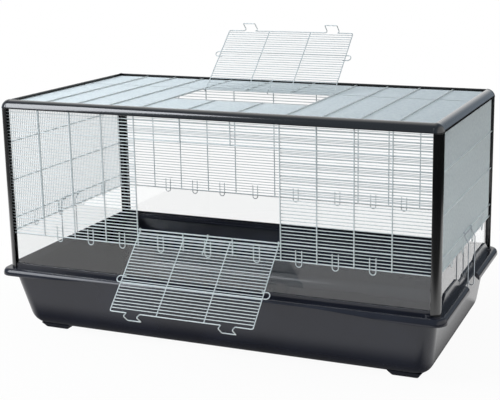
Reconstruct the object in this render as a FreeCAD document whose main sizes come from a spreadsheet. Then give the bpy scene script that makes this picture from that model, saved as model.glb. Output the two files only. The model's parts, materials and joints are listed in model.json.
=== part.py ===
import FreeCAD, Part
import math
import os
import re

# Rodent cage: a black tray, a black quarter-round frame plugged together at its top corners,
# five wire panels in the frame's slots, four clear windows, two wire doors and two wire clips.
# Millimetres. Origin at the centre of the footprint on the floor, +X along the cage, +Y to the back.

os.makedirs("parts", exist_ok=True)
V = FreeCAD.Vector
Turn = FreeCAD.Rotation
Z_AXIS = V(0, 0, 1)
doc = FreeCAD.newDocument("RodentCage")

# Driving dimensions
SIZES = {
    # wire spacing and counts
    "wire_pitch": 6.9,
    "depth_rows": 68,
    "wall_rows": 40,
    "sill_rows": 5,
    "doorway_rows": 28,
    "opening_front_rows": 12,
    "opening_back_rows": 11,
    # wire panels
    "frame_length": 942,
    "doorway_width": 324,
    "mid_bay": 112,
    "side_bay": 77,
    "side_band": 27,
    "side_bay_height": 85.5,
    "thin_wire": 1.8,
    "thick_wire": 2.6,
    "weld_bite": 0.15,
    # hooks that hold the windows
    "hook_wire": 2.0,
    "hook_width": 13,
    "hook_rise": 24,
    "hook_drop": 10,
    "hook_near": 47,
    "hook_far": 146,
    # frame profile
    "profile_radius": 18,
    "profile_chamfer": 5,
    "panel_inset": 11.5,
    "slot_near": 10.1,
    "slot_width": 5.2,
    "slot_depth": 6,
    "slot_hold": 4,
    "bore_inset": 6.2,
    "bore_radius": 3.0,
    "pin_clearance": 0.1,
    "pin_length": 20,
    "pin_root": 2,
    "corner_step": 0.6,
    # windows
    "window_gap": 80,
    "window_thick": 1.6,
    "window_clear": 0.3,
    "window_play": 0.2,
    # tray
    "rim_length": 1008,
    "rim_width": 540,
    "rim_corner": 26,
    "rim_thick": 4,
    "rim_flare": 6,
    "ledge": 1,
    "tray_depth": 143,
    "tray_wall": 3,
    "body_length": 964,
    "body_width": 526,
    "floor_length": 926,
    "floor_width": 446,
    "tray_corner": 34,
    "tray_fillet": 32,
    "lip_depth": 15,
    "lip_wall": 3,
    "lip_arch": 9,
    "arch_length": 440,
    "arch_slope": 240,
    "notch_width": 95,
    "notch_depth": 12,
    "guard_wall": 2.8,
    "guard_height": 10,
    "side_guard_height": 28,
    "side_guard_slope": 45,
    "side_guard_low": 14,
    "bead_wall": 3,
    "bead_height": 5,
    "collar_wall": 2.6,
    "collar_height": 4,
    "peg_length": 18,
    "foot_height": 9,
    "foot_root": 8,
    "foot_length": 78,
    "foot_width": 46,
    "foot_bevel": 12,
    "foot_x": 408,
    "foot_y": 190,
    # doors
    "door_wire": 2.2,
    "door_length": 189,
    "door_width": 314,
    "door_corner": 3.5,
    "curl_clear": 0.25,
    "first_cross": 9,
    "cross_count": 26,
    "third_wire": 52.3,
    "latch_along": 122.3,
    "latch_ear": 12.5,
    "latch_return": 14.5,
    "latch_tail": 6,
    "hook_reach": 41,
    "tab_centre": 104,
    "tab_width": 30,
    "tab_bend": 2,
    "tab_lift": 11,
    "tab_end": 9,
    "tab_in": 7.6,
    "tab_out": 15.5,
    "front_open": 134.4,
    "top_open": 137.9,
    "top_slide": 1.4,
    # clips
    "clip_wire": 2.2,
    "clip_spaces": 4.5,
    "clip_clear": 0.3,
    "clip_bend": 4,
    "clip_shoulder_drop": 20,
    "clip_leg_gap": 2,
    "clip_hook_width": 11,
    "clip_tip_gap": 9,
    "clip_hook_drop": 9.5,
}

# Straight wires have six flat sides: their flats lie this share of the wire's size from its middle
FLAT = "0.433"

# Places worked out from the driving dimensions
DERIVED = {
    "half_length": "frame_length / 2",
    "frame_depth": "depth_rows * wire_pitch",
    "half_depth": "frame_depth / 2",
    "rim_top": "foot_height + tray_depth",
    "bottom_z": "rim_top + window_gap",
    "sill_z": "bottom_z + sill_rows * wire_pitch",
    "header_z": "sill_z + doorway_rows * wire_pitch",
    "rail_z": "bottom_z + wall_rows * wire_pitch",
    "top_z": "rail_z + panel_inset",
    "row_x": "half_length + panel_inset",
    "row_y": "half_depth + panel_inset",
    "layer_step": "(thin_wire + thick_wire) * %s - weld_bite" % FLAT,
    "doorway_half": "doorway_width / 2",
    "opening_front_y": "0 - opening_front_rows * wire_pitch",
    "opening_back_y": "opening_back_rows * wire_pitch",
    "wall_wire": "wall_rows * wire_pitch + slot_hold + thick_wire / 2",
    "wall_wire_z": "bottom_z - thick_wire / 2",
    "hook_step": "thin_wire * %s + hook_wire / 2 - weld_bite" % FLAT,
    "side_hook_step": "layer_step + thick_wire * %s + hook_wire / 2 - weld_bite" % FLAT,
    "window_near": "slot_near + window_play",
    "window_far": "window_near + window_thick",
    "guard_near": "window_far + window_clear",
    "bead_far": "window_near - window_clear",
    "rim_inner_length": "frame_length - 2 * ledge",
    "rim_inner_width": "frame_depth - 2 * ledge",
    "curl": "(thick_wire + door_wire) / 2 + curl_clear",
    "clip_eye": "(thick_wire + clip_wire) / 2 + clip_clear",
    "clip_x": "row_x + layer_step",
    "clip_z": "bottom_z + side_band",
    "clip_y": "clip_spaces * wire_pitch",
}

sheet = doc.addObject("Spreadsheet::Sheet", "Sizes")
for row, (alias, amount) in enumerate(SIZES.items(), start=1):
    sheet.set("A%d" % row, alias)
    sheet.set("B%d" % row, str(amount))
    sheet.setAlias("B%d" % row, alias)
doc.recompute()


def formula(text):
    """The text with each derived place written out and each size named in its sheet."""
    def written_out(match):
        word = match.group(0)
        if word in DERIVED:
            return "(" + formula(DERIVED[word]) + ")"
        return "Sizes." + word
    return re.sub(r"[a-z_]+", written_out, str(text))


def number(text):
    """The value of a formula, for shapes that are drawn point by point."""
    return float(sheet.evalExpression(formula(text)))


def bind(item, **properties):
    """Ties an object's properties to formulas; a double underscore stands for a dot."""
    for name, text in properties.items():
        item.setExpression(name.replace("__", "."), formula(text))
    return item


def place(item, x, y, z, turn=None):
    """Turns an object and ties its place to formulas."""
    if turn:
        item.Placement = FreeCAD.Placement(V(), turn)
    return bind(item, Placement__Base__x=x, Placement__Base__y=y, Placement__Base__z=z)


def box(name, x, y, z, length, width, height):
    item = doc.addObject("Part::Box", name)
    bind(item, Length=length, Width=width, Height=height)
    return place(item, x, y, z)


def cylinder(name, x, y, z, radius, height, turn=None, angle=360):
    item = doc.addObject("Part::Cylinder", name)
    item.Angle = angle
    bind(item, Radius=radius, Height=height)
    return place(item, x, y, z, turn)


def fuse(label, pieces):
    item = doc.addObject("Part::MultiFuse", label)
    item.Shapes = pieces
    item.Refine = False
    item.Label = label
    return item


def cut(name, base, tool):
    item = doc.addObject("Part::Cut", name)
    item.Base = base
    item.Tool = tool
    return item


def rounded(name, base, radius, chosen):
    """Fillets the edges of base that chosen accepts."""
    doc.recompute()
    item = doc.addObject("Part::Fillet", name)
    item.Base = base
    amount = number(radius)
    edges = enumerate(base.Shape.Edges, start=1)
    item.Edges = [(index, amount, amount) for index, edge in edges if chosen(edge)]
    return item


def upright(edge):
    """True for an edge that runs mainly up and down."""
    ends = edge.BoundBox
    return ends.ZLength > ends.XLength and ends.ZLength > ends.YLength


ALONG = {"x": Turn(V(0, 1, 0), 90), "y": Turn(V(1, 0, 0), -90), "z": Turn()}
HEX_TURN = 30


def straight_wire(name, axis, size, x, y, z, length, turned=False):
    """A straight wire, drawn with six flat sides; turned sets its flats towards the other layer."""
    item = doc.addObject("Part::Prism", name)
    item.Polygon = 6
    bind(item, Circumradius=size + " / 2", Height=length)
    turn = ALONG[axis] * Turn(Z_AXIS, HEX_TURN if turned else 0)
    return place(item, x, y, z, turn)


def line(start, end):
    return Part.LineSegment(start, end).toShape()


def bent_path(points, bends):
    """Edges through the points, with a tangent arc of the given radius at each inner point."""
    edges = []
    start = points[0]
    for before, corner, after, bend in zip(points, points[1:], points[2:], bends):
        arriving = (corner - before).normalize()
        leaving = (after - corner).normalize()
        half = arriving.getAngle(leaving) / 2
        reach = bend * math.tan(half)
        inward = (leaving - arriving).normalize()
        arc_start = corner - arriving * reach
        arc_end = corner + leaving * reach
        arc_middle = corner + inward * (bend / math.cos(half) - bend)
        edges.append(line(start, arc_start))
        edges.append(Part.Arc(arc_start, arc_middle, arc_end).toShape())
        start = arc_end
    edges.append(line(start, points[-1]))
    return edges


def round_wire(name, edges, size):
    """A round wire of the given size swept along joined edges."""
    path = Part.Wire(edges)
    first = path.OrderedEdges[0]
    start = path.OrderedVertexes[0].Point
    along = first.tangentAt(first.FirstParameter)
    section = Part.Wire([Part.makeCircle(number(size) / 2, start, along)])
    item = doc.addObject("Part::Feature", name)
    item.Shape = path.makePipeShell([section], True, False)
    return item


# Frame: posts and rails share one quarter-round profile with a blunt inner corner, two panel slots
# and a pin bore
def profile_body(label, length):
    radius = number("profile_radius")
    near = number("slot_near")
    far = number("slot_near + slot_width")
    deep = number("slot_depth")
    blunt = number("profile_chamfer")
    lower = [V(blunt, 0), V(near, 0), V(near, deep), V(far, deep), V(far, 0), V(radius, 0)]
    upper = [V(point.y, point.x) for point in reversed(lower)]
    middle = Turn(Z_AXIS, 45).multVec(V(radius, 0))
    body = doc.addObject("PartDesign::Body", label)
    body.Label = label
    ground = [plane for plane in body.Origin.OriginFeatures if plane.Role == "XY_Plane"][0]
    sketch = body.newObject("Sketcher::SketchObject", label + "_section")
    sketch.AttachmentSupport = [(ground, "")]
    sketch.MapMode = "FlatFace"
    for side in (lower, upper, [upper[-1], lower[0]]):
        for start, end in zip(side, side[1:]):
            sketch.addGeometry(Part.LineSegment(start, end))
    sketch.addGeometry(Part.Arc(lower[-1], middle, upper[0]))
    bore = V(number("bore_inset"), number("bore_inset"))
    sketch.addGeometry(Part.Circle(bore, Z_AXIS, number("bore_radius")))
    pad = body.newObject("PartDesign::Pad", label + "_length")
    pad.Profile = sketch
    bind(pad, Length=length)
    return body


# Each corner: name, quarter turn from the back right one, and signs of its x and y
CORNERS = [
    ("back_right", 0, "", ""),
    ("back_left", 90, "-", ""),
    ("front_left", 180, "-", "-"),
    ("front_right", 270, "", "-"),
]
# Each rail starts at one corner and runs along one side
RAILS = ["right", "back", "left", "front"]
RAIL_LENGTHS = {
    "right": "frame_depth",
    "back": "frame_length",
    "left": "frame_depth",
    "front": "frame_length",
}


def corner_joint(label):
    """A rounded corner with three pins, drawn for the back right corner."""
    ball = doc.addObject("Part::Sphere", label + "_cap")
    ball.Angle1 = 0
    ball.Angle2 = 90
    ball.Angle3 = 90
    bind(ball, Radius="profile_radius + corner_step")
    root = "pin_root"
    length = "pin_length + pin_root"
    radius = "bore_radius - pin_clearance"
    inset = "bore_inset"
    pins = [
        cylinder(label + "_pin_x", root, inset, inset, radius, length, Turn(V(0, 1, 0), -90)),
        cylinder(label + "_pin_y", inset, root, inset, radius, length, Turn(V(1, 0, 0), 90)),
        cylinder(label + "_pin_z", inset, inset, root, radius, length, Turn(V(1, 0, 0), 180)),
    ]
    return fuse(label, [ball] + pins)


def frame():
    pieces = []
    for (corner, angle, sign_x, sign_y), side in zip(CORNERS, RAILS):
        x = sign_x + "half_length"
        y = sign_y + "half_depth"
        around = Turn(Z_AXIS, angle)
        post = profile_body("post_" + corner, "rail_z - rim_top")
        place(post, x, y, "rim_top", around)
        rail = profile_body("rail_" + side, RAIL_LENGTHS[side])
        place(rail, x, y, "rail_z", around * Turn(V(1, 0, 0), 90))
        joint = corner_joint("corner_" + corner)
        place(joint, x, y, "rail_z", around)
        pieces += [post, rail, joint]
    return pieces


# Wire panels
def window_hook(name, centre, across, size="hook_wire"):
    """A U of round wire that hangs below the panel's bottom wire, outside the window."""
    top = V(0, 0, number("bottom_z + hook_rise"))
    foot = V(0, 0, number("bottom_z - hook_drop + hook_width / 2"))
    half = number("hook_width / 2")
    left = centre - across * half
    right = centre + across * half
    lowest = centre + foot - V(0, 0, half)
    edges = [line(left + top, left + foot)]
    edges.append(Part.Arc(left + foot, lowest, right + foot).toShape())
    edges.append(line(right + foot, right + top))
    return round_wire(name, edges, size)


def both_sides(formulas):
    return ["-(%s)" % text for text in formulas] + list(formulas)


OUTER_COLUMNS = ["doorway_half + %d * side_bay" % step for step in range(4)]
MID_COLUMNS = ["mid_bay / 2"]
HOOK_PLACES = ["(doorway_half + mid_bay / 2) / 2"]
HOOK_PLACES += ["doorway_half + (%d + 0.5) * side_bay" % step for step in range(3)]


def long_panel(label, sign, has_doorway):
    """The front or back panel: thin wires along the cage, thick ones up its outer face."""
    row_y = sign + "row_y"
    column_y = sign + "(row_y + layer_step)"
    start_x = "-(half_length + slot_hold)"
    full = "frame_length + 2 * slot_hold"
    part_row = "half_length + slot_hold - doorway_half + thick_wire / 2"
    sill = int(number("sill_rows"))
    header = sill + int(number("doorway_rows"))
    thick_rows = [0, sill, header] if has_doorway else [0]
    wires = []
    for row in range(int(number("wall_rows"))):
        name = "%s_row_%d" % (label, row)
        z = "bottom_z + %d * wire_pitch" % row
        size = "thick_wire" if row in thick_rows else "thin_wire"
        if has_doorway and sill < row < header:
            wires.append(straight_wire(name + "_left", "x", size, start_x, row_y, z, part_row))
            right_x = "doorway_half - thick_wire / 2"
            wires.append(straight_wire(name + "_right", "x", size, right_x, row_y, z, part_row))
        else:
            wires.append(straight_wire(name, "x", size, start_x, row_y, z, full))
    full_columns = OUTER_COLUMNS if has_doorway else OUTER_COLUMNS + MID_COLUMNS
    for count, x in enumerate(both_sides(full_columns)):
        name = "%s_column_%d" % (label, count)
        wires.append(straight_wire(name, "z", "thick_wire", x, column_y, "wall_wire_z", "wall_wire"))
    for count, x in enumerate(both_sides(MID_COLUMNS) if has_doorway else []):
        name = "%s_short_column_%d" % (label, count)
        low = "sill_z - bottom_z + thick_wire"
        high_z = "header_z - thick_wire / 2"
        high = "rail_z - header_z + slot_hold + thick_wire / 2"
        wires.append(straight_wire(name + "_low", "z", "thick_wire", x, column_y, "wall_wire_z", low))
        wires.append(straight_wire(name + "_high", "z", "thick_wire", x, column_y, high_z, high))
    hook_y = number(sign + "(row_y + hook_step)")
    for count, x in enumerate(["0"] + both_sides(HOOK_PLACES)):
        hook = "%s_hook_%d" % (label, count)
        wires.append(window_hook(hook, V(number(x), hook_y, 0), V(1, 0, 0)))
    return fuse(label, wires)


SIDE_LEVELS = ["0", "side_band", "side_band + side_bay_height", "side_band + 2 * side_bay_height"]


def side_panel(label, sign):
    """The left or right panel: thin wires upright, thick ones across their outer face."""
    wires = []
    for row in range(1, int(number("depth_rows"))):
        name = "%s_upright_%d" % (label, row)
        y = "%d * wire_pitch - half_depth" % row
        x = sign + "row_x"
        wires.append(straight_wire(name, "z", "thin_wire", x, y, "wall_wire_z", "wall_wire", True))
    for count, level in enumerate(SIDE_LEVELS):
        name = "%s_level_%d" % (label, count)
        x = sign + "(row_x + layer_step)"
        z = "bottom_z + " + level
        y = "-(half_depth + slot_hold)"
        length = "frame_depth + 2 * slot_hold"
        wires.append(straight_wire(name, "y", "thick_wire", x, y, z, length, True))
    hook_x = number(sign + "(row_x + side_hook_step)")
    for count, y in enumerate(both_sides(["hook_near", "hook_far"])):
        hook = "%s_hook_%d" % (label, count)
        wires.append(window_hook(hook, V(hook_x, number(y), 0), V(0, 1, 0)))
    return fuse(label, wires)


def top_panel(label):
    """The top panel: thin wires along the cage, thick ones across their upper face, and an opening.
    Its back edge is the thick wire that the top door turns on, with no thin wire just behind it."""
    start_x = "-(half_length + slot_hold)"
    full = "frame_length + 2 * slot_hold"
    part_row = "half_length + slot_hold - doorway_half + thick_wire / 2"
    rows = int(number("depth_rows"))
    front_edge = rows // 2 - int(number("opening_front_rows"))
    back_edge = rows // 2 + int(number("opening_back_rows"))
    wires = []
    for row in range(1, rows):
        name = "%s_row_%d" % (label, row)
        y = "(%d - depth_rows / 2) * wire_pitch" % row
        size = "thick_wire" if row == back_edge else "thin_wire"
        if front_edge < row < back_edge:
            wires.append(straight_wire(name + "_left", "x", size, start_x, y, "top_z", part_row, True))
            right_x = "doorway_half - thick_wire / 2"
            wires.append(straight_wire(name + "_right", "x", size, right_x, y, "top_z", part_row, True))
        elif row != back_edge + 1:
            wires.append(straight_wire(name, "x", size, start_x, y, "top_z", full, True))
    z = "top_z + layer_step"
    start_y = "-(half_depth + slot_hold)"
    for count, x in enumerate(both_sides(OUTER_COLUMNS)):
        name = "%s_cross_%d" % (label, count)
        length = "frame_depth + 2 * slot_hold"
        wires.append(straight_wire(name, "y", "thick_wire", x, start_y, z, length))
    for count, x in enumerate(both_sides(MID_COLUMNS)):
        name = "%s_short_cross_%d" % (label, count)
        front = "half_depth + slot_hold + opening_front_y + thin_wire / 2"
        back_y = "opening_back_y - thick_wire / 2"
        back = "half_depth + slot_hold - opening_back_y + thick_wire / 2"
        wires.append(straight_wire(name + "_front", "y", "thick_wire", x, start_y, z, front))
        wires.append(straight_wire(name + "_back", "y", "thick_wire", x, back_y, z, back))
    return fuse(label, wires)


# Doors: drawn shut and upright, with the hinge wire's axis along X through the origin
def curl(x, plane, ends_here):
    """The open curl round the hinge wire at the foot of an upright door wire."""
    radius = number("curl")
    top = V(x, 0, radius)
    side = V(x, plane, 0)
    middle = V(x, -plane * math.cos(math.radians(45)), -radius * math.sin(math.radians(45)))
    if ends_here:
        return Part.Arc(side, middle, top).toShape()
    return Part.Arc(top, middle, side).toShape()


def door(label, tab_sign):
    """A wire door; tab_sign turns its two finger tabs outwards (1) or inwards (-1)."""
    half = number("door_width / 2")
    plane = -number("curl")
    top = number("door_length")
    tab_half = number("tab_width / 2")
    tab_low = V(0, plane + tab_sign * number("tab_in"), top + number("tab_lift"))
    tab_high = V(0, plane - tab_sign * number("tab_out"), top + number("tab_end"))
    points = [V(-half, plane, 0), V(-half, plane, top)]
    for centre in (-number("tab_centre"), number("tab_centre")):
        start = V(centre - tab_half, 0, 0)
        end = V(centre + tab_half, 0, 0)
        edge = V(0, plane, top)
        points += [start + edge, start + tab_low, start + tab_high]
        points += [end + tab_high, end + tab_low, end + edge]
    points += [V(half, plane, top), V(half, plane, 0)]
    corner = number("door_corner")
    tab = number("tab_bend")
    border = [curl(-half, plane, False)]
    border += bent_path(points, [corner] + [tab] * 12 + [corner])
    border.append(curl(half, plane, True))
    pieces = [round_wire(label + "_border", border, "door_wire")]

    hook_top = V(0, plane, number("hook_reach"))
    hook = [line(hook_top, V(0, plane, 0)), curl(0, plane, True)]
    pieces.append(round_wire(label + "_centre_hook", hook, "door_wire"))

    latch_y = plane - number("door_wire - weld_bite")
    along = number("latch_along")
    back = along - number("latch_return")
    ear = half + number("latch_ear")
    tail = half - number("latch_tail")
    latch_points = [V(-tail, latch_y, back), V(-ear, latch_y, back), V(-ear, latch_y, along)]
    latch_points += [V(ear, latch_y, along), V(ear, latch_y, back), V(tail, latch_y, back)]
    ear_bend = number("latch_return / 2 - weld_bite")
    latch = bent_path(latch_points, [ear_bend] * 4)
    pieces.append(round_wire(label + "_latch", latch, "door_wire"))

    cross_y = "0 - curl + door_wire / 2 + thin_wire * %s - weld_bite" % FLAT
    for count in range(int(number("cross_count"))):
        name = "%s_cross_%d" % (label, count)
        z = "first_cross + %d * wire_pitch" % count
        pieces.append(straight_wire(name, "x", "thin_wire", "0 - door_width / 2", cross_y, z, "door_width"))
    for count, x in enumerate(both_sides(["third_wire"])):
        name = "%s_third_%d" % (label, count)
        length = "door_length - first_cross + thin_wire / 2"
        z = "first_cross - thin_wire / 2"
        pieces.append(straight_wire(name, "z", "door_wire", x, "0 - curl", z, length))
    return fuse(label, pieces)


def doors():
    front = door("front_door", 1)
    place(front, "0", "0 - row_y", "sill_z", Turn(V(1, 0, 0), number("front_open")))
    top = door("top_door", -1)
    shut = Turn(V(1, 0, 0), 90) * Turn(Z_AXIS, 180)
    opened = Turn(V(1, 0, 0), -number("top_open"))
    place(top, "top_slide", "opening_back_y", "top_z", opened * shut)
    return [front, top]


# Clear windows below the panels, in the posts' slots and the rim's channel
def windows():
    z = "rim_top"
    height = "window_gap - thick_wire / 2 - window_clear"
    length = "frame_length + 2 * slot_hold"
    width = "frame_depth + 2 * slot_hold"
    x = "-(half_length + slot_hold)"
    y = "-(half_depth + slot_hold)"
    return [
        box("window_front", x, "-(half_depth + window_far)", z, length, "window_thick", height),
        box("window_back", x, "half_depth + window_near", z, length, "window_thick", height),
        box("window_left", "-(half_length + window_far)", y, z, "window_thick", width, height),
        box("window_right", "half_length + window_near", y, z, "window_thick", width, height),
    ]


# Tray: cutting blocks run past what they cut, and floor edges are found within a small tolerance
OVERRUN = " + 1"
UNDERRUN = " - 1"
LEVEL_TOLERANCE = 0.01


def block(name, length, width, low_z, high_z):
    """A block centred over the origin."""
    x = "-(%s) / 2" % length
    y = "-(%s) / 2" % width
    return box(name, x, y, low_z, length, width, "%s - (%s)" % (high_z, low_z))


def tapered(name, foot_length, foot_width, top_length, top_width, low_z, height):
    """A block centred over the origin whose sides lean, from its foot to its top."""
    item = doc.addObject("Part::Wedge", name)
    bind(item, Xmin="-(%s) / 2" % foot_length, Xmax="(%s) / 2" % foot_length)
    bind(item, Zmin="-(%s) / 2" % foot_width, Zmax="(%s) / 2" % foot_width)
    bind(item, X2min="-(%s) / 2" % top_length, X2max="(%s) / 2" % top_length)
    bind(item, Z2min="-(%s) / 2" % top_width, Z2max="(%s) / 2" % top_width)
    bind(item, Ymin="0", Ymax=height)
    return place(item, "0", "0", low_z, Turn(V(1, 0, 0), 90))


def basin(name, inset, low_z, high_z):
    """The tray's basin, or with an inset the space inside it, with round corners and a round foot."""
    less = " - 2 * (%s)" % inset
    sizes = [size + less for size in ("floor_length", "floor_width", "body_length", "body_width")]
    block_item = tapered(name + "_block", *sizes, low_z, "%s - (%s)" % (high_z, low_z))
    sides = rounded(name + "_sides", block_item, "tray_corner - (%s)" % inset, upright)
    level = number(low_z)

    def on_floor(edge):
        return edge.BoundBox.ZMax < level + LEVEL_TOLERANCE
    return rounded(name, sides, "tray_fillet - (%s)" % inset, on_floor)


def rounded_block(name, length, width, low_z, high_z, radius):
    return rounded(name, block(name + "_block", length, width, low_z, high_z), radius, upright)


def flared(name, inset, low_z, high_z):
    """A block with round corners that widens downwards from the rim's top edge to the lip's foot."""
    sizes = ["%s - 2 * (%s)" % (size, inset) for size in ("rim_length", "rim_width")]
    sizes += [size + " - 2 * rim_flare" for size in sizes]
    block_item = tapered(name + "_block", *sizes, low_z, "%s - (%s)" % (high_z, low_z))
    return rounded(name, block_item, "rim_corner - (%s)" % inset, upright)


def tray_rim():
    """The flat rim with its flared lip, arched up along the front and back and notched for the clips."""
    under = "rim_top - rim_thick"
    lip_low = "rim_top - lip_depth"
    low = lip_low + UNDERRUN
    top_length = "rim_length - 2 * rim_flare"
    top_width = "rim_width - 2 * rim_flare"
    plate = rounded_block("rim_plate", top_length, top_width, under, "rim_top", "rim_corner")
    hole = block("rim_hole", "rim_inner_length", "rim_inner_width", under + UNDERRUN, "rim_top" + OVERRUN)
    skirt = flared("lip_outside", "0", lip_low, "rim_top")
    lip = cut("lip_ring", skirt, flared("lip_inside", "lip_wall", low, "rim_top" + OVERRUN))
    through = "2 * rim_width"
    foot_span = "arch_length + 2 * arch_slope"
    arch = tapered("lip_arches", foot_span, through, "arch_length", through, lip_low, "lip_arch")
    arched = cut("lip_arched", lip, arch)
    rim = cut("rim_with_hole", fuse("rim_and_lip", [plate, arched]), hole)
    notch_x = "rim_length / 2 - notch_depth"
    notch_y = "0 - notch_width / 2"
    tall = "lip_depth + rim_thick"
    notches = [
        box("notch_right", notch_x, notch_y, low, "lip_depth", "notch_width", tall),
        box("notch_left", "-(%s + lip_depth)" % notch_x, notch_y, low, "lip_depth", "notch_width", tall),
    ]
    return cut("rim", rim, fuse("clip_notches", notches))


def side_guard(name, x, y):
    """A raised guard outside the right window, with sloping ends."""
    item = doc.addObject("Part::Wedge", name)
    reach = "(half_depth - notch_width / 2)"
    bind(item, Xmin="0", Xmax="guard_wall", X2min="0", X2max="guard_wall", Ymin="0", Ymax="side_guard_height")
    bind(item, Zmin="0", Zmax=reach, Z2min="side_guard_slope", Z2max=reach + " - side_guard_slope")
    return place(item, x, y, "rim_top", Turn(V(1, 0, 0), 90))


def tray_guards():
    """Guards and beads that make the channel the windows stand in."""
    z = "rim_top"
    x = "-half_length"
    y = "-half_depth"
    long = "frame_length"
    deep = "frame_depth"
    wall = "guard_wall"
    tall = "guard_height"
    bead = "bead_wall"
    low = "bead_height"
    return [
        box("guard_front", x, "-(half_depth + guard_near + guard_wall)", z, long, wall, tall),
        box("guard_back", x, "half_depth + guard_near", z, long, wall, tall),
        box("bead_front", x, "-(half_depth + bead_far)", z, long, bead, low),
        box("bead_back", x, "half_depth + bead_far - bead_wall", z, long, bead, low),
        box("bead_left", "-(half_length + bead_far)", y, z, bead, deep, low),
        box("bead_right", "half_length + bead_far - bead_wall", y, z, bead, deep, low),
        box("guard_left", "-(half_length + guard_near + guard_wall)", y, z, wall, deep, tall),
        box("guard_right", "half_length + guard_near", y, z, wall, deep, "side_guard_low"),
        side_guard("guard_right_back", "half_length + guard_near", "half_depth"),
        side_guard("guard_right_front", "half_length + guard_near", "0 - notch_width / 2"),
    ]


def post_sockets():
    """A collar round each post's outer face and a peg up its bore."""
    pieces = []
    inner = "profile_radius + window_clear"
    for corner, angle, sign_x, sign_y in CORNERS:
        x = sign_x + "half_length"
        y = sign_y + "half_depth"
        around = Turn(Z_AXIS, angle)
        sunk = "rim_top - rim_thick / 2"
        outer = inner + " + collar_wall"
        tall = "collar_height + rim_thick / 2"
        outside = cylinder("collar_out_" + corner, x, y, sunk, outer, tall, around, 90)
        inside = cylinder("collar_in_" + corner, x, y, "rim_top", inner, tall, around, 90)
        pieces.append(cut("collar_" + corner, outside, inside))
        peg_x = sign_x + "(half_length + bore_inset)"
        peg_y = sign_y + "(half_depth + bore_inset)"
        radius = "bore_radius - pin_clearance"
        pieces.append(cylinder("peg_" + corner, peg_x, peg_y, sunk, radius, "peg_length + rim_thick / 2"))
    return pieces


def feet():
    pieces = []
    for corner, angle, sign_x, sign_y in CORNERS:
        foot = tapered("foot_" + corner, "foot_length - 2 * foot_bevel", "foot_width - 2 * foot_bevel",
                       "foot_length", "foot_width", "0", "foot_height + foot_root")
        pieces.append(place(foot, sign_x + "foot_x", sign_y + "foot_y", "0"))
    return pieces


def tray(label):
    outside = basin("basin", "0", "foot_height", "rim_top - rim_thick / 2")
    inside = basin("hollow", "tray_wall", "foot_height + tray_wall", "rim_top" + OVERRUN)
    shell = cut("basin_shell", fuse("basin_on_feet", [outside] + feet()), inside)
    return fuse(label, [shell, tray_rim()] + tray_guards() + post_sockets())


# Clips: one wire each, turning on the side panel's second thick wire, hooked under the tray's rim
def clip(label, sign):
    """A clip; sign is "-" on the left side."""
    outward = V(number(sign + "1"), 0, 0)
    eye = number("clip_eye")
    leg_out = number("rim_length / 2 - notch_depth + clip_leg_gap + clip_wire / 2 - clip_x")
    hook_in = leg_out - number("clip_hook_width")
    tip_z = number("rim_top - rim_thick - clip_tip_gap - clip_z")
    hook_z = tip_z - number("clip_hook_drop - clip_hook_width / 2")
    down = V(0, 0, -1)
    bend = number("clip_bend")
    pieces = []
    for count, side in enumerate(both_sides(["clip_y"])):
        name = "%s_%d" % (label, count)
        at = V(number(sign + "clip_x"), number(side), number("clip_z"))
        ring = doc.addObject("Part::Torus", name + "_eye")
        bind(ring, Radius1="clip_eye", Radius2="clip_wire / 2")
        place(ring, sign + "clip_x", side, "clip_z", Turn(V(1, 0, 0), 90))
        shoulder = outward * leg_out + down * number("clip_shoulder_drop")
        leg = [outward * eye, outward * eye + down * 2 * eye, shoulder, outward * leg_out + V(0, 0, hook_z)]
        leg = [at + point for point in leg]
        edges = bent_path(leg, [bend / 2, bend])
        hook_start = leg[-1]
        hook_end = at + outward * hook_in + V(0, 0, hook_z)
        hook_low = (hook_start + hook_end) / 2 + down * number("clip_hook_width / 2")
        edges.append(Part.Arc(hook_start, hook_low, hook_end).toShape())
        edges.append(line(hook_end, at + outward * hook_in + V(0, 0, tip_z)))
        pieces += [ring, round_wire(name + "_leg", edges, "clip_wire")]
    bar_x = sign + "(clip_x + clip_eye + clip_wire / 2)"
    bar = cylinder(label + "_bar", bar_x, "0 - clip_y", "clip_z", "clip_wire / 2", "2 * clip_y", ALONG["y"])
    return fuse(label, pieces + [bar])


subparts = [tray("base_tray")]
subparts += frame()
subparts.append(long_panel("panel_front", "-", True))
subparts.append(long_panel("panel_back", "", False))
subparts.append(side_panel("panel_left", "-"))
subparts.append(side_panel("panel_right", ""))
subparts.append(top_panel("panel_top"))
subparts += doors()
subparts += windows()
subparts.append(clip("clip_left", "-"))
subparts.append(clip("clip_right", ""))
doc.recompute()

for item in doc.Objects:
    if "Invalid" in item.State or "Error" in item.State:
        raise RuntimeError("failed: " + item.Label)
for item in subparts:
    if item.Shape.isNull() or not item.Shape.isValid():
        raise RuntimeError("bad shape: " + item.Label)
for item in subparts:
    item.Shape.exportStep("parts/%s.step" % item.Label)
    print(item.Label, len(item.Shape.Solids), round(item.Shape.Volume))
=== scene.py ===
# %% [markdown]
# # A rodent cage
#
# The real cage comes apart on a bench: a deep black tray, a frame of black quarter-round profiles,
# five panels of welded wire, four clear windows, two wire doors and two wire clips.
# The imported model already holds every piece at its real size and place. This lesson makes each piece
# again as a finished mesh, with round wires, soft edges and real surfaces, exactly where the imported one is.

import json
import math

import bmesh
import bpy
from mathutils import Matrix, Quaternion, Vector


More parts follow.
